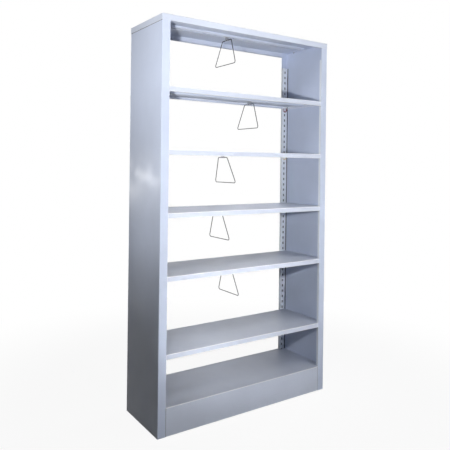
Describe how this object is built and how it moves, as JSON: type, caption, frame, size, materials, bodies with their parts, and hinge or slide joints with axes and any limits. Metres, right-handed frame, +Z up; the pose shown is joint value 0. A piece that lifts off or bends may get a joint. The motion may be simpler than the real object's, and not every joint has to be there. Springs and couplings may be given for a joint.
{
  "type": "library bookshelf",
  "caption": "Open-backed steel library bookshelf with adjustable tray shelves on slotted posts, kick plates and sliding wire book stops.",
  "frame": {"origin": "middle of the footprint, on the floor", "axes": "+Z up, X along the shelves with +X to the right seen from the front, +Y from the front to the rear"},
  "size_m": [1.068, 0.358, 2],
  "materials": {
    "painted_sheet": "satin powder coat",
    "clip_steel": "zinc plated",
    "screw_steel": "zinc plated",
    "wire_steel": "bright drawn wire"
  },
  "bodies": {
    "frame": {"left_side_panel": "painted_sheet", "right_side_panel": "painted_sheet", "left_front_post": "painted_sheet", "left_rear_post": "painted_sheet", "right_front_post": "painted_sheet", "right_rear_post": "painted_sheet", "top_cover": "painted_sheet", "top_cover_studs": "screw_steel", "top_cover_nuts": "screw_steel", "base_shelf": "painted_sheet", "front_kick_plate": "painted_sheet", "rear_kick_plate": "painted_sheet", "front_kick_plate_screws": "screw_steel", "rear_kick_plate_screws": "screw_steel", "stop_rail_1": "painted_sheet", "shelf_clips_2": "clip_steel", "shelf_clips_3": "clip_steel", "shelf_clips_4": "clip_steel", "shelf_clips_5": "clip_steel", "shelf_clips_6": "clip_steel"},
    "shelf_2_unit": {"shelf_2": "painted_sheet", "stop_rail_2": "painted_sheet"},
    "shelf_3_unit": {"shelf_3": "painted_sheet", "stop_rail_3": "painted_sheet"},
    "shelf_4_unit": {"shelf_4": "painted_sheet", "stop_rail_4": "painted_sheet"},
    "shelf_5_unit": {"shelf_5": "painted_sheet", "stop_rail_5": "painted_sheet"},
    "shelf_6_unit": {"shelf_6": "painted_sheet", "stop_rail_6": "painted_sheet"},
    "book_stop_1": {"wire_stop_1": "wire_steel", "stop_runner_1": "clip_steel"},
    "book_stop_2": {"wire_stop_2": "wire_steel", "stop_runner_2": "clip_steel"},
    "book_stop_3": {"wire_stop_3": "wire_steel", "stop_runner_3": "clip_steel"},
    "book_stop_4": {"wire_stop_4": "wire_steel", "stop_runner_4": "clip_steel"},
    "book_stop_5": {"wire_stop_5": "wire_steel", "stop_runner_5": "clip_steel"}
  },
  "joints": [
    {"name": "shelf_2_lift", "type": "slide", "parent": "frame", "child": "shelf_2_unit", "axis": [0, 0, 1], "range_m": [0, 0.03]},
    {"name": "shelf_3_lift", "type": "slide", "parent": "frame", "child": "shelf_3_unit", "axis": [0, 0, 1], "range_m": [0, 0.03]},
    {"name": "shelf_4_lift", "type": "slide", "parent": "frame", "child": "shelf_4_unit", "axis": [0, 0, 1], "range_m": [0, 0.03]},
    {"name": "shelf_5_lift", "type": "slide", "parent": "frame", "child": "shelf_5_unit", "axis": [0, 0, 1], "range_m": [0, 0.03]},
    {"name": "shelf_6_lift", "type": "slide", "parent": "frame", "child": "shelf_6_unit", "axis": [0, 0, 1], "range_m": [0, 0.03]},
    {"name": "book_stop_1_slide", "type": "slide", "parent": "frame", "child": "book_stop_1", "axis": [1, 0, 0], "range_m": [-0.4335, 0.5295]},
    {"name": "book_stop_2_slide", "type": "slide", "parent": "shelf_2_unit", "child": "book_stop_2", "axis": [1, 0, 0], "range_m": [-0.5895, 0.3735]},
    {"name": "book_stop_3_slide", "type": "slide", "parent": "shelf_3_unit", "child": "book_stop_3", "axis": [1, 0, 0], "range_m": [-0.4155, 0.5475]},
    {"name": "book_stop_4_slide", "type": "slide", "parent": "shelf_4_unit", "child": "book_stop_4", "axis": [1, 0, 0], "range_m": [-0.3875, 0.5755]},
    {"name": "book_stop_5_slide", "type": "slide", "parent": "shelf_5_unit", "child": "book_stop_5", "axis": [1, 0, 0], "range_m": [-0.4525, 0.5105]}
  ]
}
